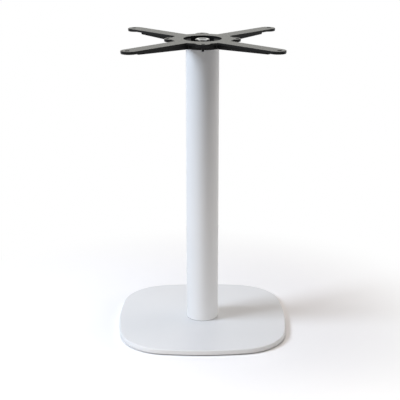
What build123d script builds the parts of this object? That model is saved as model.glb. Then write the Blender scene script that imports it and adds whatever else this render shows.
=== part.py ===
from build123d import *
import os
from math import atan2, cos, radians, sin, sqrt, tan

# Pedestal table base: a steel floor plate, a tube column and a cast spider that carries the table top.
# A tie rod screwed into the plate runs up the column, and its top nut clamps the three together.
# Millimetres, +Z up, origin on the floor under the middle of the plate.

# Base plate: steel, a square with bowed sides and large round corners
plate_half_width = 212.0
plate_side_radius = 730.0
plate_corner_radius = 120.0
plate_thickness = 12.0
plate_top_round = 3.0
plate_bottom_round = 1.0

# Glides: plastic buttons with a stem pressed into a blind hole near each corner of the plate
glide_corner_inset = 44.0
glide_radius = 14.0
glide_height = 2.0
glide_edge_chamfer = 1.0
glide_stem_radius = 4.0
glide_stem_length = 7.0
glide_stem_gap = 0.05
glide_hole_room = 1.0

# Column: round steel tube, square cut with softened ends
column_radius = 40.0
column_wall = 2.0
column_length = 694.0
column_edge_round = 0.6

# Tie rod: threaded over its length, centre-drilled at the top
rod_radius = 10.0
rod_end_chamfer = 1.5
rod_stand_out = 0.3
rod_top_recess = 0.2
rod_bottom_recess = 1.0
rod_centre_radius = 3.0
rod_centre_depth = 4.0
thread_gap = 0.05
rod_clearance = 0.5

# Nuts and washers on the tie rod
nut_across_flats = 30.0
nut_corner_bevel = 30.0
nut_face_share = 0.95
nut_bore_chamfer = 1.0
top_nut_height = 10.0
lock_nut_height = 16.0
washer_radius = 18.5
washer_thickness = 3.0

# Locating disc: centres the foot of the column on the plate
disc_thickness = 6.0
disc_clearance = 0.3
disc_chamfer = 1.0

# Spider hub: a bowl seated on the column's top end, with a spigot inside the tube
hub_overhang = 10.0
hub_wall = 4.0
hub_floor = 6.5
hub_bottom_round = 2.0
hub_floor_round = 3.0
hub_rim = 25.0
ledge_gap = 9.5
ledge_drop = 4.5
spigot_length = 10.0
spigot_wall = 4.0
spigot_clearance = 0.3
spigot_chamfer = 1.0

# Spider arms and lugs: a flat flange with thicker pads at its holes, stiffened below by ribs
flange_thickness = 5.0
flange_top_round = 1.2
crotch_radius = 4.0
casting_round = 2.5
pad_depth = 6.8
pad_inset = 0.5
rib_thickness = 6.0
rib_root_rise = 0.3
rib_corner_round = 3.0
arm_width = 40.0
tip_hole_spacing = 340.0
tip_hole_radius = 5.5
tip_edge = 14.0
rib_end_depth = 12.6
rib_end_gap = 29.0
lug_width = 34.0
lug_hole_circle = 166.0
lug_hole_radius = 5.0
lug_edge = 8.5
web_hole_gap = 11.0

# Heights of the stack, from the floor up
plate_bottom = glide_height
plate_top = plate_bottom + plate_thickness
column_top = plate_top + column_length
hub_floor_top = column_top + hub_floor
top_nut_base = hub_floor_top + washer_thickness
rod_top = top_nut_base + top_nut_height + rod_stand_out
spider_top = rod_top + rod_top_recess
rod_bottom = plate_bottom + rod_bottom_recess
disc_top = plate_top + disc_thickness
lock_nut_base = disc_top + washer_thickness

# Radii that the pieces share
column_bore = column_radius - column_wall
hub_radius = column_radius + hub_overhang
hub_bore = hub_radius - hub_wall
flange_radius = hub_radius + hub_rim
hub_depth = spider_top - column_top
tip_hole_reach = tip_hole_spacing / sqrt(2)
lug_hole_reach = lug_hole_circle / 2

ARM_ANGLES = (45, 135, 225, 315)
LUG_ANGLES = (0, 90, 180, 270)
LEDGE_ANGLES = (0, 180)
CORNERS = {"back_right": 45, "back_left": 135, "front_left": 225, "front_right": 315}


def around(reach, angle):
    """Location at a radius and an angle about the column's axis."""
    return Rot(0, 0, angle) * Pos(reach, 0, 0)


def turned(profile):
    """Solid of revolution about Z from a closed profile of (radius, height) points."""
    return revolve(Plane.XZ * make_face(Polyline(*profile, close=True)), Axis.Z)


def ring(outer, inner, height, base):
    """Flat ring standing on a height."""
    on_base = (Align.CENTER, Align.CENTER, Align.MIN)
    return Pos(0, 0, base) * (Cylinder(outer, height, align=on_base) - Cylinder(inner, height, align=on_base))


def rims(turned_piece):
    """Circular edges of a turned piece in groups of equal radius, the widest last."""
    return turned_piece.edges().filter_by(GeomType.CIRCLE).group_by(SortBy.RADIUS)


# Base plate

side_centre = plate_side_radius - plate_half_width
corner_gap = plate_side_radius - plate_corner_radius
corner_centre = (sqrt(2 * corner_gap**2 - side_centre**2) - side_centre) / 2
corner_reach = corner_centre * sqrt(2) + plate_corner_radius
glide_reach = corner_reach - glide_corner_inset


def plate_outline():
    """Four bowed sides, each joined to the next by a corner arc that touches both."""
    touch = atan2(corner_centre, corner_centre + side_centre)
    touch_x = plate_side_radius * cos(touch) - side_centre
    touch_y = plate_side_radius * sin(touch)
    corner_mid = corner_reach / sqrt(2)
    side = ThreePointArc((touch_x, -touch_y), (plate_half_width, 0), (touch_x, touch_y))
    corner = ThreePointArc((touch_x, touch_y), (corner_mid, corner_mid), (touch_y, touch_x))
    arcs = []
    for angle in (0, 90, 180, 270):
        arcs.append(Rot(0, 0, angle) * side)
        arcs.append(Rot(0, 0, angle) * corner)
    return make_face(arcs)


def base_plate():
    plate = extrude(plate_outline(), plate_thickness)
    plate = fillet(plate.edges().group_by(Axis.Z)[-1], plate_top_round)
    plate = fillet(plate.edges().group_by(Axis.Z)[0], plate_bottom_round)
    plate -= Cylinder(rod_radius + thread_gap, 3 * plate_thickness)
    hole_depth = glide_stem_length + glide_hole_room
    hole = Cylinder(glide_stem_radius + glide_stem_gap, 2 * hole_depth)
    for angle in CORNERS.values():
        plate -= around(glide_reach, angle) * hole
    return Pos(0, 0, plate_bottom) * plate


def glide(angle):
    head = Cylinder(glide_radius, glide_height, align=(Align.CENTER, Align.CENTER, Align.MIN))
    head = chamfer(head.edges().group_by(Axis.Z)[0], glide_edge_chamfer)
    stem_align = (Align.CENTER, Align.CENTER, Align.MIN)
    stem = Cylinder(glide_stem_radius, glide_height + glide_stem_length, align=stem_align)
    return around(glide_reach, angle) * (head + stem)


# Column, tie rod and fasteners

def column_tube():
    tube = ring(column_radius, column_bore, column_length, plate_top)
    return fillet(rims(tube)[-1], column_edge_round)


def tie_rod():
    end_radius = rod_radius - rod_end_chamfer
    return turned(
        [
            (0, rod_bottom),
            (end_radius, rod_bottom),
            (rod_radius, rod_bottom + rod_end_chamfer),
            (rod_radius, rod_top - rod_end_chamfer),
            (end_radius, rod_top),
            (rod_centre_radius, rod_top),
            (0, rod_top - rod_centre_depth),
        ]
    )


def hexagon_nut(height, base):
    """Hexagon nut with bevelled corners, two of them along X, and a chamfered bore."""
    flat = nut_across_flats / 2
    corner = flat / cos(radians(30))
    face = flat * nut_face_share
    bevel = (corner - face) * tan(radians(nut_corner_bevel))
    bore = rod_radius + thread_gap
    mouth = bore + nut_bore_chamfer
    envelope = turned(
        [
            (mouth, 0),
            (face, 0),
            (corner, bevel),
            (corner, height - bevel),
            (face, height),
            (mouth, height),
            (bore, height - nut_bore_chamfer),
            (bore, nut_bore_chamfer),
        ]
    )
    prism = extrude(RegularPolygon(flat, 6, major_radius=False, rotation=0), height)
    return Pos(0, 0, base) * (prism & envelope)


def washer(base):
    return ring(washer_radius, rod_radius + rod_clearance, washer_thickness, base)


def locating_disc():
    disc = ring(column_bore - disc_clearance, rod_radius + rod_clearance, disc_thickness, plate_top)
    return chamfer(rims(disc)[-1].sort_by(Axis.Z)[-1], disc_chamfer)


# Spider, modelled with its top face at height 0 and then lifted into place

arm_end = tip_hole_reach + tip_edge
lug_end = lug_hole_reach + lug_edge
rib_end = tip_hole_reach - rib_end_gap
web_end = lug_hole_reach - web_hole_gap
wall_middle = hub_radius - hub_wall / 2
rib_root_depth = hub_depth - rib_root_rise
ledge_start = washer_radius + ledge_gap


def flange_outline():
    """Disc with four round-ended arms and four round-ended lugs, blended where they meet the disc."""
    outline = Circle(flange_radius)
    for angle in ARM_ANGLES[:2]:
        outline += Rot(0, 0, angle) * SlotOverall(2 * arm_end, arm_width)
    for angle in LUG_ANGLES[:2]:
        outline += Rot(0, 0, angle) * SlotOverall(2 * lug_end, lug_width)
    # growing the outline and shrinking it back rounds only its inner corners
    return offset(offset(outline, crotch_radius), -crotch_radius)


def rib(end, end_depth):
    """Upright rib along a radius, from inside the hub's wall; its upper edge is buried in the flange."""
    top = -flange_thickness / 2
    profile = [(wall_middle, top), (end, top), (end, -end_depth), (wall_middle, -rib_root_depth)]
    plate = extrude(Plane.XZ * make_face(Polyline(*profile, close=True)), rib_thickness / 2, both=True)
    outer_corner = plate.edges().filter_by(Axis.Y).sort_by(Axis.X)[-2:].sort_by(Axis.Z)[0]
    return fillet(outer_corner, rib_corner_round)


def pad(end, width):
    """Round pad under the hole, just inside the round end of an arm or a lug."""
    depth = pad_depth - flange_thickness / 2
    disc = Cylinder(width / 2 - pad_inset, depth, align=(Align.CENTER, Align.CENTER, Align.MIN))
    return Pos(end - width / 2, 0, -pad_depth) * disc


def hub_cavity():
    """Inside of the bowl, open at the top, with a rounded floor corner."""
    depth = hub_depth - hub_floor
    cavity = Cylinder(hub_bore, depth, align=(Align.CENTER, Align.CENTER, Align.MAX))
    return fillet(cavity.edges().group_by(Axis.Z)[0], hub_floor_round)


def hub_ledge():
    """Shoulder inside the bowl, to one side of the nut, grown from the wall and the floor."""
    foot = hub_floor / 2 - hub_depth
    height = -ledge_drop - foot
    on_foot = (Align.CENTER, Align.CENTER, Align.MIN)
    filling = Cylinder(wall_middle, height, align=on_foot)
    outward = (Align.MIN, Align.CENTER, Align.MIN)
    side = Pos(ledge_start, 0, 0) * Box(hub_radius, 2 * hub_radius, height, align=outward)
    return Pos(0, 0, foot) * (filling & side)


def hub_spigot():
    outer = column_bore - spigot_clearance
    spigot = ring(outer, outer - spigot_wall, spigot_length, -hub_depth - spigot_length)
    return chamfer(rims(spigot)[-1].sort_by(Axis.Z)[0], spigot_chamfer)


def top_spider():
    flange = extrude(flange_outline(), -flange_thickness)
    flange = fillet(flange.edges().group_by(Axis.Z)[-1], flange_top_round)
    hub = Cylinder(hub_radius, hub_depth, align=(Align.CENTER, Align.CENTER, Align.MAX))
    hub = fillet(hub.edges().group_by(Axis.Z)[0], hub_bottom_round)
    ribs = [Rot(0, 0, angle) * rib(rib_end, rib_end_depth) for angle in ARM_ANGLES]
    ribs += [Rot(0, 0, angle) * rib(web_end, rib_root_depth) for angle in LUG_ANGLES]
    casting = flange + hub + ribs
    # the mould rounds each inner corner of flange, hub and ribs, down to the round at the hub's foot
    corners = new_edges(flange, hub, *ribs, combined=casting)
    corners = corners.filter_by(lambda edge: edge.center().Z > hub_bottom_round - hub_depth)
    casting = fillet(corners, casting_round)
    for angle in ARM_ANGLES:
        casting += Rot(0, 0, angle) * pad(arm_end, arm_width)
    for angle in LUG_ANGLES:
        casting += Rot(0, 0, angle) * pad(lug_end, lug_width)
    casting -= hub_cavity()
    for angle in LEDGE_ANGLES:
        casting += Rot(0, 0, angle) * hub_ledge()
    casting += hub_spigot()
    casting -= Cylinder(rod_radius + rod_clearance, 4 * hub_depth)
    for angle in ARM_ANGLES:
        casting -= around(tip_hole_reach, angle) * Cylinder(tip_hole_radius, 4 * flange_thickness)
    for angle in LUG_ANGLES:
        casting -= around(lug_hole_reach, angle) * Cylinder(lug_hole_radius, 4 * flange_thickness)
    return Pos(0, 0, spider_top) * casting


pieces = {
    "base_plate": base_plate(),
    "column_tube": column_tube(),
    "tie_rod": tie_rod(),
    "locating_disc": locating_disc(),
    "lock_washer": washer(disc_top),
    "lock_nut": hexagon_nut(lock_nut_height, lock_nut_base),
    "top_spider": top_spider(),
    "top_washer": washer(hub_floor_top),
    "top_nut": hexagon_nut(top_nut_height, top_nut_base),
}
for corner, angle in CORNERS.items():
    pieces["glide_" + corner] = glide(angle)

os.makedirs("parts", exist_ok=True)
for name, shape in pieces.items():
    export_step(shape, "parts/" + name + ".step")
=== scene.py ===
import math

import bmesh
import bpy
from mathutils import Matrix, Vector


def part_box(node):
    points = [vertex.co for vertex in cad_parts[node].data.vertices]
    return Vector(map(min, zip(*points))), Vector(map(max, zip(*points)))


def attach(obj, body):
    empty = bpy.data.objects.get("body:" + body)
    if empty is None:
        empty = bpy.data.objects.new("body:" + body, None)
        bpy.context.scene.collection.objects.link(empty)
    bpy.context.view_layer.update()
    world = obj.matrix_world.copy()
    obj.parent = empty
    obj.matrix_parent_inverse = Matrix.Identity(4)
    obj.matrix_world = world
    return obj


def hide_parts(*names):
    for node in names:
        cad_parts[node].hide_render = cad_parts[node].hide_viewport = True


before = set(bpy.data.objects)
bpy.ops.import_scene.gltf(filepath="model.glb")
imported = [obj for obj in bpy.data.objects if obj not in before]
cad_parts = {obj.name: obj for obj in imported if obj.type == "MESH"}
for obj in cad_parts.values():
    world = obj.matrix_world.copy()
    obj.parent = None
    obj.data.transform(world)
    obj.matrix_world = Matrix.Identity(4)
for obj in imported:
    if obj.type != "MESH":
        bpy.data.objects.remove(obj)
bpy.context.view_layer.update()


# Floor plate: a thick steel plate cut to a square with bowed sides, its upper edge ground round. It is
# powder coated in satin white, and a threaded hole in its middle takes the rod that holds it all together.

MM = 0.001


def linear(code):
    """Scene-linear RGBA of an sRGB hex colour."""
    channels = [int(code[i : i + 2], 16) / 255 for i in (1, 3, 5)]
    return [c / 12.92 if c <= 0.04045 else ((c + 0.055) / 1.055) ** 2.4 for c in channels] + [1.0]


def add_node(tree, kind, inputs=None, **settings):
    """Adds a node; each input, by name or by number, takes a plain value or another node's output."""
    node = tree.nodes.new(kind)
    for name, value in settings.items():
        setattr(node, name, value)
    for socket, value in (inputs or {}).items():
        if isinstance(value, bpy.types.NodeSocket):
            tree.links.new(value, node.inputs[socket])
        else:
            node.inputs[socket].default_value = value
    return node


def new_finish(name):
    """Empty node material, with its tree and the object coordinates that its patterns read."""
    material = bpy.data.materials.new(name)
    material.use_nodes = True
    tree = material.node_tree
    tree.nodes.clear()
    return material, tree, add_node(tree, "ShaderNodeTexCoord").outputs["Object"]


WEAR_START, WEAR_FULL = 0.99, 0.8  # cosines of the turn at which an edge starts to wear, and is worn


def worn_edges(tree, softened):
    """1 on sharp edges and 0 on flats, by how far softened edges turn the normal."""
    flat = add_node(tree, "ShaderNodeNewGeometry").outputs["Normal"]
    turn = add_node(tree, "ShaderNodeVectorMath", {0: flat, 1: softened}, operation="DOT_PRODUCT")
    spread = {"Value": turn.outputs["Value"], "From Min": WEAR_START, "From Max": WEAR_FULL}
    return add_node(tree, "ShaderNodeMapRange", spread).outputs["Result"]


def finish_node(node, material):
    """Gives a CAD piece its finish."""
    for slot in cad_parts[node].material_slots:
        slot.material = material


# Satin white polyester powder: an even cool white, with an orange peel about 3 mm across that breaks up
# the gloss, tones that drift over a hand's width, and a coat that thins to grey on sharp edges.
PEEL_WIDTH = 3 * MM
PEEL_HEIGHT = 0.05 * MM
DRIFT_WIDTH = 140 * MM
WHITE_EDGE = 0.8 * MM
MIX_FROM, MIX_TO, MIX_RESULT = 6, 7, 2  # a Mix node's colour sockets, by number
white_coat, tree, place = new_finish("satin_white_powder_coat")
peel = add_node(tree, "ShaderNodeTexNoise", {"Vector": place, "Scale": 1 / PEEL_WIDTH, "Detail": 2.0})
drift = add_node(tree, "ShaderNodeTexNoise", {"Vector": place, "Scale": 1 / DRIFT_WIDTH, "Detail": 1.0})
softened = add_node(tree, "ShaderNodeBevel", {"Radius": WHITE_EDGE}).outputs["Normal"]
tones = {"Factor": drift.outputs["Fac"], MIX_FROM: linear("#e4e6e8"), MIX_TO: linear("#e9eaeb")}
tone = add_node(tree, "ShaderNodeMix", tones, data_type="RGBA").outputs[MIX_RESULT]
thinned = {"Factor": worn_edges(tree, softened), MIX_FROM: tone, MIX_TO: linear("#d6d8da")}
tone = add_node(tree, "ShaderNodeMix", thinned, data_type="RGBA").outputs[MIX_RESULT]
gloss = {"Value": peel.outputs["Fac"], "To Min": 0.36, "To Max": 0.46}
relief = {"Height": peel.outputs["Fac"], "Strength": 0.25, "Distance": PEEL_HEIGHT, "Normal": softened}
look = {
    "Base Color": tone,
    "Roughness": add_node(tree, "ShaderNodeMapRange", gloss).outputs["Result"],
    "Normal": add_node(tree, "ShaderNodeBump", relief).outputs["Normal"],
}
surface = add_node(tree, "ShaderNodeBsdfPrincipled", look).outputs["BSDF"]
add_node(tree, "ShaderNodeOutputMaterial", {"Surface": surface})
finish_node("base_plate", white_coat)


# Glides: four round buttons of black polyethylene, injection moulded with a stem that is pressed into a
# blind hole near each corner of the plate. They lift the plate 2 mm and keep it off the floor.

def turned(name, profile, steps):
    """Closed mesh turned about Z from (radius, height) points that start and end on the axis."""
    shape = bmesh.new()
    angles = [2 * math.pi * step / steps for step in range(steps)]
    rings = []
    for radius, height in profile:
        if radius == 0:
            rings.append([shape.verts.new((0, 0, height))] * steps)
        else:
            ring = [(radius * math.cos(angle), radius * math.sin(angle), height) for angle in angles]
            rings.append([shape.verts.new(point) for point in ring])
    for lower, upper in zip(rings, rings[1:]):
        for i in range(steps):
            corners = [lower[i], lower[(i + 1) % steps], upper[(i + 1) % steps], upper[i]]
            shape.faces.new(dict.fromkeys(corners))
    bmesh.ops.recalc_face_normals(shape, faces=shape.faces)
    mesh = bpy.data.meshes.new(name)
    shape.to_mesh(mesh)
    shape.free()
    return mesh


SMOOTH_ANGLE = math.radians(35)


def grown(name, tree, sizes, start):
    """Piece that a geometry node tree grows from a start mesh, turned into a plain mesh."""
    piece = bpy.data.objects.new(name, start)
    bpy.context.scene.collection.objects.link(piece)
    modifier = piece.modifiers.new(name, "NODES")
    modifier.node_group = tree
    for item in tree.interface.items_tree:
        if item.name in sizes:
            modifier[item.identifier] = sizes[item.name]
    shape = piece.evaluated_get(bpy.context.evaluated_depsgraph_get())
    mesh = bpy.data.meshes.new_from_object(shape)
    piece.modifiers.clear()
    piece.data = mesh
    mesh.shade_smooth()
    mesh.set_sharp_from_angle(angle=SMOOTH_ANGLE)
    return piece


# Moulded polyethylene: waxy near-black with a spark-eroded grain, scuffed paler and duller in patches.
GRAIN_WIDTH = 0.6 * MM
GRAIN_HEIGHT = 0.05 * MM
SCUFF_WIDTH = 4 * MM
plastic, tree, place = new_finish("black_moulded_polyethylene")
grain = add_node(tree, "ShaderNodeTexNoise", {"Vector": place, "Scale": 1 / GRAIN_WIDTH, "Detail": 2.0})
scuff = {"Vector": place, "Scale": 1 / SCUFF_WIDTH, "Detail": 4.0, "Roughness": 0.7}
scuff = add_node(tree, "ShaderNodeTexNoise", scuff).outputs["Fac"]
tones = {"Factor": scuff, MIX_FROM: linear("#171718"), MIX_TO: linear("#2b2b2c")}
gloss = {"Value": scuff, "To Min": 0.45, "To Max": 0.7}
relief = {"Height": grain.outputs["Fac"], "Strength": 0.3, "Distance": GRAIN_HEIGHT}
look = {
    "Base Color": add_node(tree, "ShaderNodeMix", tones, data_type="RGBA").outputs[MIX_RESULT],
    "Roughness": add_node(tree, "ShaderNodeMapRange", gloss).outputs["Result"],
    "Normal": add_node(tree, "ShaderNodeBump", relief).outputs["Normal"],
    "IOR": 1.5,
}
surface = add_node(tree, "ShaderNodeBsdfPrincipled", look).outputs["BSDF"]
add_node(tree, "ShaderNodeOutputMaterial", {"Surface": surface})

GLIDES = ("glide_front_left", "glide_front_right", "glide_back_left", "glide_back_right")
glide_low, glide_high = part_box("glide_back_right")
glide_radius = (glide_high.x - glide_low.x) / 2
glide_spacing = glide_low.x + glide_high.x
plate_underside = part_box("base_plate")[0].z
GLIDE_STEPS = 48
STEM_RADIUS = 4 * MM
LIP_ROUND = 1 * MM
LIP_STEPS = 6
RING_RADIUS = 9 * MM
RING_DEPTH = 0.4 * MM
GATE_RADIUS = 2 * MM

lip = []
for step in range(LIP_STEPS + 1):
    angle = math.pi / 2 * step / LIP_STEPS
    outward = LIP_ROUND * (1 - math.sin(angle))
    lip.append((glide_radius - outward, LIP_ROUND * (1 - math.cos(angle))))
glide_profile = [
    (0, RING_DEPTH),
    (GATE_RADIUS, RING_DEPTH),
    (GATE_RADIUS + RING_DEPTH, 0),
    (RING_RADIUS - 2 * RING_DEPTH, 0),
    (RING_RADIUS - RING_DEPTH, RING_DEPTH),
    (RING_RADIUS + RING_DEPTH, RING_DEPTH),
    (RING_RADIUS + 2 * RING_DEPTH, 0),
    *lip,
    (glide_radius, plate_underside),
    (STEM_RADIUS, plate_underside),
    (STEM_RADIUS, glide_high.z - LIP_ROUND),
    (STEM_RADIUS - LIP_ROUND, glide_high.z),
    (0, glide_high.z),
]

# One glide is set at each corner of a square of the glides' spacing.
tree = bpy.data.node_groups.new("four_corners", "GeometryNodeTree")
tree.interface.new_socket("Geometry", in_out="INPUT", socket_type="NodeSocketGeometry")
tree.interface.new_socket("Spacing", in_out="INPUT", socket_type="NodeSocketFloat")
tree.interface.new_socket("Geometry", in_out="OUTPUT", socket_type="NodeSocketGeometry")
given = add_node(tree, "NodeGroupInput").outputs
square = {"Size X": given["Spacing"], "Size Y": given["Spacing"], "Vertices X": 2, "Vertices Y": 2}
square = add_node(tree, "GeometryNodeMeshGrid", square).outputs["Mesh"]
copies = {"Points": square, "Instance": given["Geometry"]}
copies = add_node(tree, "GeometryNodeInstanceOnPoints", copies).outputs["Instances"]
solid = add_node(tree, "GeometryNodeRealizeInstances", {"Geometry": copies}).outputs["Geometry"]
dressed = add_node(tree, "GeometryNodeSetMaterial", {"Geometry": solid, "Material": plastic})
add_node(tree, "NodeGroupOutput", {"Geometry": dressed.outputs["Geometry"]})

glide = turned("glide", glide_profile, GLIDE_STEPS)
floor_glides = grown("floor_glides", tree, {"Spacing": glide_spacing}, glide)
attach(floor_glides, "root")
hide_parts(*GLIDES)


# Tie rod: a zinc plated bar with a rolled M20 thread over its length, sawn off and centre-drilled at the
# top. It screws into the plate, runs up inside the column, and its end shows inside the top nut.

# Zinc plated threaded bar: dull silver on the rolled flanks, and darker bare steel with saw lines on its
# cut end. The lines are really about 0.3 mm apart, drawn coarser here.
SAW_LINE = 1.2 * MM
SAW_HEIGHT = 0.05 * MM
CENTRE_RADIUS = 3 * MM
CENTRE_DEPTH = 4 * MM
WAVE_LENGTH = 2 * math.pi / 20  # length of one wave of the wave texture at a scale of 1
rod_low, rod_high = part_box("tie_rod")
rod_radius = rod_high.x
bar_steel, tree, place = new_finish("zinc_plated_threaded_bar")
height = add_node(tree, "ShaderNodeSeparateXYZ", {"Vector": place}).outputs["Z"]
cut = {0: height, 1: rod_high.z - CENTRE_DEPTH}
cut = add_node(tree, "ShaderNodeMath", cut, operation="GREATER_THAN").outputs["Value"]
saw = {"Vector": place, "Scale": WAVE_LENGTH / SAW_LINE, "Distortion": 1.5, "Detail": 2.0}
saw = add_node(tree, "ShaderNodeTexWave", saw, bands_direction="X").outputs["Fac"]
saw = add_node(tree, "ShaderNodeMath", {0: saw, 1: cut}, operation="MULTIPLY").outputs["Value"]
tones = {"Factor": cut, MIX_FROM: linear("#b4b7ba"), MIX_TO: linear("#8e9092")}
gloss = {"Value": saw, "To Min": 0.4, "To Max": 0.55}
relief = {"Height": saw, "Strength": 0.2, "Distance": SAW_HEIGHT}
look = {
    "Base Color": add_node(tree, "ShaderNodeMix", tones, data_type="RGBA").outputs[MIX_RESULT],
    "Roughness": add_node(tree, "ShaderNodeMapRange", gloss).outputs["Result"],
    "Normal": add_node(tree, "ShaderNodeBump", relief).outputs["Normal"],
    "Metallic": 1.0,
    "Specular Tint": linear("#c8c8c8"),
}
surface = add_node(tree, "ShaderNodeBsdfPrincipled", look).outputs["BSDF"]
add_node(tree, "ShaderNodeOutputMaterial", {"Surface": surface})

THREAD_PITCH = 2.5 * MM
THREAD_DEPTH = 1.5 * MM
THREAD_PLAY = 0.05 * MM
THREAD_STEPS = 24
FLANK_STEPS = 6
CREST_END = 1 / 16  # of the pitch, from the middle of the crest to its edge
ROOT_START = 3 / 8  # of the pitch, from the middle of the crest to the edge of the root
END_BEVEL = 1.6 * MM
WELD_GAP = 0.01 * MM

tree = bpy.data.node_groups.new("rolled_thread", "GeometryNodeTree")
tree.interface.new_socket("Turns", in_out="INPUT", socket_type="NodeSocketInt")
rod_lengths = {
    "Bottom": rod_low.z,
    "Top": rod_high.z,
    "Crest Radius": rod_radius - THREAD_PLAY,
    "Core Radius": rod_radius - THREAD_DEPTH,
    "End Radius": rod_radius - END_BEVEL,
    "Pitch": THREAD_PITCH,
    "Centre Radius": CENTRE_RADIUS,
    "Centre Depth": CENTRE_DEPTH,
}
for name in rod_lengths:
    tree.interface.new_socket(name, in_out="INPUT", socket_type="NodeSocketFloat")
tree.interface.new_socket("Geometry", in_out="OUTPUT", socket_type="NodeSocketGeometry")
given = add_node(tree, "NodeGroupInput").outputs
spot = add_node(tree, "GeometryNodeInputPosition").outputs["Position"]
spot = add_node(tree, "ShaderNodeSeparateXYZ", {"Vector": spot}).outputs

# The rod is wound from flat strips, with X in turns and Y across the strip. The thread's strip is one pitch
# wide and climbs as a ridge, held between the ends, where a 45 degree bevel cuts it down. The top end's
# strip is one turn long: its outer half is the flat ring, and its inner half sinks into the centre hole.
# Each row names a sum and the numbers in it, which are given or come from a row above.
known = {"turn": spot["X"], "across": spot["Y"], **{socket.name: socket for socket in given}}
for name, operation, first, second in (
    ("angle", "MULTIPLY", "turn", 2 * math.pi),
    ("steps", "MULTIPLY", "Turns", THREAD_STEPS),
    ("points", "ADD", "steps", 1.0),
    ("both ends", "ADD", "Bottom", "Top"),
    ("middle", "MULTIPLY", "both ends", 0.5),
    ("turned", "ADD", "turn", "across"),
    ("climb", "MULTIPLY", "turned", "Pitch"),
    ("free height", "ADD", "middle", "climb"),
    ("height below top", "MINIMUM", "free height", "Top"),
    ("height", "MAXIMUM", "height below top", "Bottom"),
    ("off crest", "ABSOLUTE", "across", 0.0),
    ("to bottom", "SUBTRACT", "height", "Bottom"),
    ("to top", "SUBTRACT", "Top", "height"),
    ("to end", "MINIMUM", "to bottom", "to top"),
    ("bevel", "ADD", "to end", "End Radius"),
    ("inner share", "MAXIMUM", "across", 0.0),
    ("outer half", "MINIMUM", "across", 0.0),
    ("ring width", "SUBTRACT", "Centre Radius", "End Radius"),
    ("ring", "MULTIPLY", "ring width", "outer half"),
    ("hole share", "SUBTRACT", 1.0, "inner share"),
    ("hole", "MULTIPLY", "Centre Radius", "hole share"),
    ("end radius", "ADD", "ring", "hole"),
    ("sunk", "MULTIPLY", "Centre Depth", "inner share"),
    ("end height", "SUBTRACT", "Top", "sunk"),
):
    terms = {0: known.get(first, first), 1: known.get(second, second)}
    known[name] = add_node(tree, "ShaderNodeMath", terms, operation=operation).outputs["Value"]


def wind(strip, radius, height):
    """Winds a flat strip about Z, each point at its own radius and height."""
    reach = add_node(tree, "ShaderNodeCombineXYZ", {"X": radius, "Z": height}).outputs["Vector"]
    wound = {"Vector": reach, "Angle": known["angle"]}
    wound = add_node(tree, "ShaderNodeVectorRotate", wound, rotation_type="Z_AXIS").outputs["Vector"]
    moved = {"Geometry": strip, "Position": wound}
    return add_node(tree, "GeometryNodeSetPosition", moved).outputs["Geometry"]


ridge = {
    "Value": known["off crest"],
    "From Min": CREST_END,
    "From Max": ROOT_START,
    "To Min": given["Crest Radius"],
    "To Max": given["Core Radius"],
}
ridge = add_node(tree, "ShaderNodeMapRange", ridge).outputs["Result"]
radius = add_node(tree, "ShaderNodeMath", {0: ridge, 1: known["bevel"]}, operation="MINIMUM").outputs["Value"]
strip = {
    "Size X": given["Turns"],
    "Size Y": 1.0,
    "Vertices X": known["points"],
    "Vertices Y": FLANK_STEPS + 1,
}
strip = add_node(tree, "GeometryNodeMeshGrid", strip).outputs["Mesh"]
thread = wind(strip, radius, known["height"])
strip = {"Size X": 1.0, "Size Y": 2.0, "Vertices X": THREAD_STEPS + 1, "Vertices Y": 3}
strip = add_node(tree, "GeometryNodeMeshGrid", strip).outputs["Mesh"]
top_end = wind(strip, known["end radius"], known["end height"])

# The bottom end is a plain disc, turned over to face down.
disc = {"Vertices": THREAD_STEPS, "Radius": given["End Radius"]}
disc = add_node(tree, "GeometryNodeMeshCircle", disc, fill_type="NGON").outputs["Mesh"]
seat = add_node(tree, "ShaderNodeCombineXYZ", {"Z": given["Bottom"]}).outputs["Vector"]
turned_over = {"Geometry": disc, "Translation": seat, "Rotation": (math.pi, 0, 0)}
bottom_end = add_node(tree, "GeometryNodeTransform", turned_over).outputs["Geometry"]

joined = add_node(tree, "GeometryNodeJoinGeometry")
for part in (bottom_end, top_end, thread):
    tree.links.new(part, joined.inputs["Geometry"])
welded = {"Geometry": joined.outputs["Geometry"], "Distance": WELD_GAP}
welded = add_node(tree, "GeometryNodeMergeByDistance", welded).outputs["Geometry"]
solid = add_node(tree, "GeometryNodeRealizeInstances", {"Geometry": welded}).outputs["Geometry"]
dressed = add_node(tree, "GeometryNodeSetMaterial", {"Geometry": solid, "Material": bar_steel})
add_node(tree, "NodeGroupOutput", {"Geometry": dressed.outputs["Geometry"]})

# An even number of turns, with one to spare beyond each end, starts and stops the strip at the same angle.
rod_turns = 2 * math.ceil((rod_high.z - rod_low.z) / THREAD_PITCH / 2) + 2
rod_sizes = {"Turns": rod_turns, **rod_lengths}
threaded_rod = grown("threaded_rod", tree, rod_sizes, bpy.data.meshes.new("threaded_rod"))
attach(threaded_rod, "root")
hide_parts("tie_rod")


# Locating disc: a steel disc turned to the tube's bore, slipped over the rod to centre the foot of the
# column on the plate. It is left bare under a film of oil, hidden inside the column.

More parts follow.
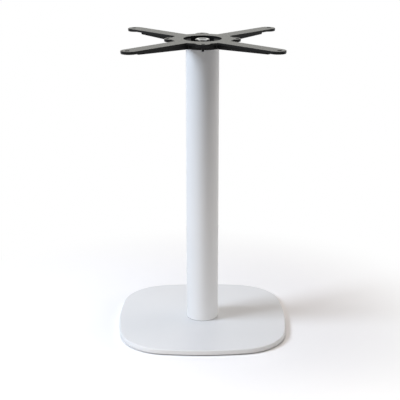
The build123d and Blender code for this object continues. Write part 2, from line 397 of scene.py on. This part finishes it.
# Turned mild steel: grey, with concentric tool marks. They are really about 0.2 mm apart, drawn coarser here.
TOOL_MARK = 1 * MM
TOOL_HEIGHT = 0.05 * MM
OIL_WIDTH = 20 * MM
turned_steel, tree, place = new_finish("turned_mild_steel")
marks = {"Vector": place, "Scale": WAVE_LENGTH / TOOL_MARK, "Distortion": 0.3}
marks = add_node(tree, "ShaderNodeTexWave", marks, wave_type="RINGS", rings_direction="Z").outputs["Fac"]
oil = {"Vector": place, "Scale": 1 / OIL_WIDTH, "Detail": 3.0}
oil = add_node(tree, "ShaderNodeTexNoise", oil).outputs["Fac"]
tones = {"Factor": oil, MIX_FROM: linear("#8a8c8d"), MIX_TO: linear("#9b9890")}
gloss = {"Value": oil, "To Min": 0.3, "To Max": 0.5}
relief = {"Height": marks, "Strength": 0.2, "Distance": TOOL_HEIGHT}
look = {
    "Base Color": add_node(tree, "ShaderNodeMix", tones, data_type="RGBA").outputs[MIX_RESULT],
    "Roughness": add_node(tree, "ShaderNodeMapRange", gloss).outputs["Result"],
    "Normal": add_node(tree, "ShaderNodeBump", relief).outputs["Normal"],
    "Metallic": 1.0,
}
surface = add_node(tree, "ShaderNodeBsdfPrincipled", look).outputs["BSDF"]
add_node(tree, "ShaderNodeOutputMaterial", {"Surface": surface})
finish_node("locating_disc", turned_steel)


# Lock washer and nut: cold formed steel, bright zinc plated. Screwed down on the disc inside the column,
# they lock it and the rod to the plate.

# Bright zinc: bluish silver that yellows a little in patches, softly blurred by the plating's crystals,
# and rubbed brighter where a spanner bears on the edges. The crystals are finer, drawn coarser here.
CRYSTAL_WIDTH = 2 * MM
CRYSTAL_HEIGHT = 0.03 * MM
PATCH_WIDTH = 8 * MM
ZINC_EDGE = 0.4 * MM
zinc, tree, place = new_finish("bright_zinc_plating")
crystals = {"Vector": place, "Scale": 1 / CRYSTAL_WIDTH, "Detail": 2.0}
crystals = add_node(tree, "ShaderNodeTexNoise", crystals).outputs["Fac"]
patches = add_node(tree, "ShaderNodeTexNoise", {"Vector": place, "Scale": 1 / PATCH_WIDTH, "Detail": 1.0})
softened = add_node(tree, "ShaderNodeBevel", {"Radius": ZINC_EDGE}).outputs["Normal"]
tones = {"Factor": patches.outputs["Fac"], MIX_FROM: linear("#c2c6c9"), MIX_TO: linear("#cac8c3")}
tone = add_node(tree, "ShaderNodeMix", tones, data_type="RGBA").outputs[MIX_RESULT]
rubbed = {"Factor": worn_edges(tree, softened), MIX_FROM: tone, MIX_TO: linear("#d8dadc")}
tone = add_node(tree, "ShaderNodeMix", rubbed, data_type="RGBA").outputs[MIX_RESULT]
gloss = {"Value": crystals, "To Min": 0.28, "To Max": 0.4}
relief = {"Height": crystals, "Strength": 0.15, "Distance": CRYSTAL_HEIGHT, "Normal": softened}
look = {
    "Base Color": tone,
    "Roughness": add_node(tree, "ShaderNodeMapRange", gloss).outputs["Result"],
    "Normal": add_node(tree, "ShaderNodeBump", relief).outputs["Normal"],
    "Metallic": 1.0,
}
surface = add_node(tree, "ShaderNodeBsdfPrincipled", look).outputs["BSDF"]
add_node(tree, "ShaderNodeOutputMaterial", {"Surface": surface})
finish_node("lock_washer", zinc)
finish_node("lock_nut", zinc)


# Column: a round steel tube, sawn square and coated like the plate. It is clamped between the plate and
# the spider by the tie rod, with no weld at either end.

# The plate's satin white powder, with a fine dark line at its foot: painted shade in the joint, and some
# dust.
SEAM_HEIGHT = 1.5 * MM
column_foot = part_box("column_tube")[0].z
column_coat = white_coat.copy()
column_coat.name = "satin_white_powder_coat_on_tube"
tree = column_coat.node_tree
surface = tree.nodes["Principled BSDF"]
place = tree.nodes["Texture Coordinate"].outputs["Object"]
height = add_node(tree, "ShaderNodeSeparateXYZ", {"Vector": place}).outputs["Z"]
# Painted shade: the tube's lowest 1.5 mm turns dark grey towards the foot, for the shade in the joint.
joint_shade = {"Value": height, "From Min": column_foot + SEAM_HEIGHT, "From Max": column_foot}
joint_shade = add_node(tree, "ShaderNodeMapRange", joint_shade).outputs["Result"]
tone = surface.inputs["Base Color"].links[0].from_socket
shade_and_dust = {"Factor": joint_shade, MIX_FROM: tone, MIX_TO: linear("#5c5a57")}
shade_and_dust = add_node(tree, "ShaderNodeMix", shade_and_dust, data_type="RGBA").outputs[MIX_RESULT]
tree.links.new(shade_and_dust, surface.inputs["Base Color"])
finish_node("column_tube", column_coat)


# Top spider: an iron casting with a bowl for the nut, four arms that carry the table top and four short
# lugs between them. It is shot blasted and powder coated in satin black, and sits on the column's rim.

# Black powder over cast iron: nearly black, with the mould's sandy unevenness about 4 mm across under the
# powder's own grain. Its satin gloss turns grey where the light grazes it, and edges are rubbed paler.
# Inside the bowl the powder settles thin and dull.
SAND_WIDTH = 4 * MM
SAND_HEIGHT = 0.08 * MM
POWDER_WIDTH = 1.5 * MM
POWDER_HEIGHT = 0.03 * MM
BLACK_EDGE = 0.6 * MM
BOWL_RADIUS = 48 * MM
BOWL_DEPTH = 2 * MM
BOWL_DULLNESS = 0.4
spider_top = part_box("top_spider")[1].z
black_coat, tree, place = new_finish("black_powder_coat_on_cast_iron")
sand = {"Vector": place, "Scale": 1 / SAND_WIDTH, "Detail": 3.0, "Roughness": 0.6}
sand = add_node(tree, "ShaderNodeTexNoise", sand).outputs["Fac"]
powder = {"Vector": place, "Scale": 1 / POWDER_WIDTH, "Detail": 1.0}
powder = add_node(tree, "ShaderNodeTexNoise", powder).outputs["Fac"]
softened = add_node(tree, "ShaderNodeBevel", {"Radius": BLACK_EDGE}).outputs["Normal"]
tones = {"Factor": sand, MIX_FROM: linear("#0c0d0e"), MIX_TO: linear("#1a1a1b")}
tone = add_node(tree, "ShaderNodeMix", tones, data_type="RGBA").outputs[MIX_RESULT]
rubbed = {"Factor": worn_edges(tree, softened), MIX_FROM: tone, MIX_TO: linear("#252526")}
tone = add_node(tree, "ShaderNodeMix", rubbed, data_type="RGBA").outputs[MIX_RESULT]
height = add_node(tree, "ShaderNodeSeparateXYZ", {"Vector": place}).outputs["Z"]
sunk = {0: height, 1: spider_top - BOWL_DEPTH}
sunk = add_node(tree, "ShaderNodeMath", sunk, operation="LESS_THAN").outputs["Value"]
level = {0: place, 1: (1, 1, 0)}
level = add_node(tree, "ShaderNodeVectorMath", level, operation="MULTIPLY").outputs["Vector"]
reach = add_node(tree, "ShaderNodeVectorMath", {0: level}, operation="LENGTH").outputs["Value"]
inside = {0: reach, 1: BOWL_RADIUS}
inside = add_node(tree, "ShaderNodeMath", inside, operation="LESS_THAN").outputs["Value"]
dull = add_node(tree, "ShaderNodeMath", {0: sunk, 1: inside}, operation="MULTIPLY").outputs["Value"]
gloss = {"Value": sand, "To Min": 0.22, "To Max": 0.42}
gloss = add_node(tree, "ShaderNodeMapRange", gloss).outputs["Result"]
gloss = {0: dull, 1: BOWL_DULLNESS, 2: gloss}
relief = {"Height": sand, "Strength": 0.8, "Distance": SAND_HEIGHT, "Normal": softened}
cast_skin = add_node(tree, "ShaderNodeBump", relief).outputs["Normal"]
relief = {"Height": powder, "Strength": 0.6, "Distance": POWDER_HEIGHT, "Normal": cast_skin}
look = {
    "Base Color": tone,
    "Roughness": add_node(tree, "ShaderNodeMath", gloss, operation="MULTIPLY_ADD").outputs["Value"],
    "Normal": add_node(tree, "ShaderNodeBump", relief).outputs["Normal"],
    "Specular IOR Level": 0.14,
}
surface = add_node(tree, "ShaderNodeBsdfPrincipled", look).outputs["BSDF"]
add_node(tree, "ShaderNodeOutputMaterial", {"Surface": surface})
finish_node("top_spider", black_coat)


# Top washer and nut: cold formed steel with the same bright zinc as the pair below. They lie in the
# spider's bowl, and pull spider, column and plate together along the rod.

finish_node("top_washer", zinc)
finish_node("top_nut", zinc)


# Studio: a white paper sweep that fades to pure white, soft boxes and the camera. The key light stands at
# the left, so that the column darkens towards the right and throws its shadow that way over the plate.

def soft_box(name, place, aim, size, watts, colour, mirrored=False):
    """Rectangular soft box, aimed at a point, that glossy surfaces show only if it is to be mirrored."""
    lamp = bpy.data.lights.new(name, "AREA")
    lamp.shape = "RECTANGLE"
    lamp.size, lamp.size_y = size
    lamp.energy = watts
    lamp.color = linear(colour)[:3]
    box = bpy.data.objects.new(name, lamp)
    box.location = place
    box.rotation_euler = (Vector(aim) - Vector(place)).to_track_quat("-Z", "Y").to_euler()
    box.visible_camera = False
    box.visible_glossy = mirrored
    bpy.context.scene.collection.objects.link(box)


soft_box("key_left", (-1.75, -0.45, 1.65), (0, 0, 0.2), (0.9, 0.9), 43, "#e6f1ff")
soft_box("overhead", (0.0, 0.2, 1.9), (0, 0, 0), (1.6, 1.0), 16.4, "#fff4ef")
soft_box("fill_right", (2.1, 0.75, 0.45), (0, 0, 0.4), (1.2, 0.8), 17.5, "#fffbf6")

# The box behind shows in the spider's gloss, and turns its upper side grey.
soft_box("fill_back", (0.0, 2.2, 1.4), (0, 0, 0.5), (2.0, 0.8), 2.6, "#fffee4", mirrored=True)

# Two low boxes in front lift the plate's edge and the foot of the column.
soft_box("low_left", (-0.35, -0.7, 0.1), (0, 0, 0.1), (0.5, 0.14), 1.5, "#fff7f0")
soft_box("low_right", (0.35, -0.7, 0.1), (0, 0, 0.1), (0.5, 0.14), 0.85, "#fff7ef")


def looked_at(tree):
    """1 for rays that look at the background, straight, in a gloss or through glass, and 0 for light."""
    rays = add_node(tree, "ShaderNodeLightPath").outputs
    seen = rays["Is Camera Ray"]
    for other in ("Is Glossy Ray", "Is Transmission Ray"):
        either = {0: seen, 1: rays[other]}
        seen = add_node(tree, "ShaderNodeMath", either, operation="MAXIMUM").outputs["Value"]
    return seen


AMBIENT = 0.02
world = bpy.data.worlds.new("studio_white")
world.use_nodes = True
bpy.context.scene.world = world
tree = world.node_tree
tree.nodes.clear()
white = {"Color": linear("#ffffff"), "Strength": 1.0}
white = add_node(tree, "ShaderNodeBackground", white).outputs["Background"]
glow = {"Color": linear("#f5f7fa"), "Strength": AMBIENT}
glow = add_node(tree, "ShaderNodeBackground", glow).outputs["Background"]
either = add_node(tree, "ShaderNodeMixShader", {0: looked_at(tree), 1: glow, 2: white})
add_node(tree, "ShaderNodeOutputWorld", {"Surface": either.outputs["Shader"]})

# White paper: matt white as far as the object's shadow reaches, then bare white light. It looks white, but
# gives only half of the light back to the object.
FLOOR_SIZE = 12
FLOOR_GAP = 0.5 * MM
FADE_START = 0.3
FADE_END = 0.75
PAPER_WHITE = 1.08  # a little over 1, because the lamps alone leave the paper just short of white
PAPER_BOUNCE = 0.5
paper, tree, place = new_finish("white_paper_sweep")
seen = looked_at(tree)
reach = add_node(tree, "ShaderNodeVectorMath", {0: place}, operation="LENGTH").outputs["Value"]
fade = {"Value": reach, "From Min": FADE_START, "From Max": FADE_END}
fade = add_node(tree, "ShaderNodeMapRange", fade, interpolation_type="SMOOTHSTEP").outputs["Result"]
share = add_node(tree, "ShaderNodeMath", {0: seen, 1: fade}, operation="MULTIPLY").outputs["Value"]
bounce = {"Value": seen, "To Min": PAPER_BOUNCE, "To Max": PAPER_WHITE}
bounce = add_node(tree, "ShaderNodeMapRange", bounce).outputs["Result"]
matt = add_node(tree, "ShaderNodeBsdfDiffuse", {"Color": bounce}).outputs["BSDF"]
backdrop = {"Color": linear("#ffffff"), "Strength": 1.0}
backdrop = add_node(tree, "ShaderNodeEmission", backdrop).outputs["Emission"]
surface = add_node(tree, "ShaderNodeMixShader", {0: share, 1: matt, 2: backdrop}).outputs["Shader"]
add_node(tree, "ShaderNodeOutputMaterial", {"Surface": surface})
bpy.ops.mesh.primitive_plane_add(size=FLOOR_SIZE, location=(0, 0, -FLOOR_GAP))
sweep = bpy.context.object
sweep.name = "paper_sweep"
sweep.data.materials.append(paper)

# The camera stands where the photograph's perspective puts it, with a lens length in pixels of that frame.
FRAME_PIXELS = 400
LENS_PIXELS = 1073.93
CAMERA_PLACE = Vector((-0.03485, -2.55087, 1.13702))
CAMERA_AIM = Vector((-0.00597, 0, 0.3247))
camera = bpy.data.objects.new("camera", bpy.data.cameras.new("camera"))
bpy.context.scene.collection.objects.link(camera)
camera.data.lens = LENS_PIXELS / FRAME_PIXELS * camera.data.sensor_width
camera.location = CAMERA_PLACE
camera.rotation_euler = (CAMERA_AIM - CAMERA_PLACE).to_track_quat("-Z", "Y").to_euler()
bpy.context.scene.camera = camera
bpy.context.scene.view_settings.view_transform = "Standard"
